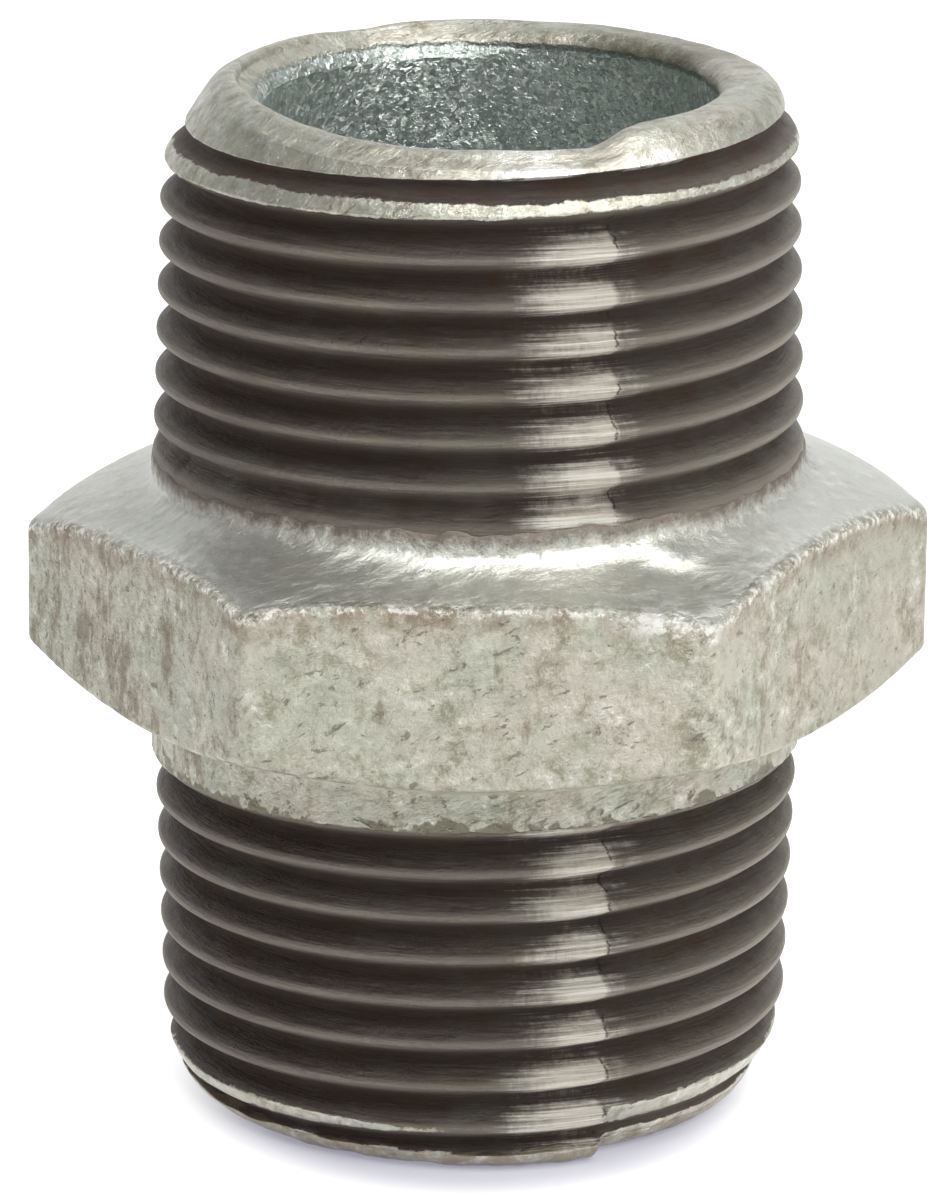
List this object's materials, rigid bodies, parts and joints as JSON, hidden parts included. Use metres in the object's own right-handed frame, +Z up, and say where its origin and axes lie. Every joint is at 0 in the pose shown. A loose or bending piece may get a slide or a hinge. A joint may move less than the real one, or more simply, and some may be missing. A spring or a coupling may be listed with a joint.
{
  "type": "hex nipple",
  "caption": "Galvanised malleable-iron hex nipple with a male taper pipe thread at each end, a round waterway and a hexagon between sloping shoulders.",
  "frame": {"origin": "centre of the lower end face, on the axis of the waterway", "axes": "+Z up the waterway, towards the upper end; +X through a corner of the hexagon; -Y out of its front wrench flat"},
  "size_m": [0.0472, 0.041, 0.054],
  "materials": {
    "cut_iron": "dark oiled malleable iron, freshly threaded",
    "hot_dip_zinc": "mottled, slightly pitted hot-dip zinc"
  },
  "bodies": {
    "root": {"iron_casting": "cut_iron", "zinc_coat_hexagon": "hot_dip_zinc", "zinc_coat_bore": "hot_dip_zinc"}
  },
  "joints": []
}
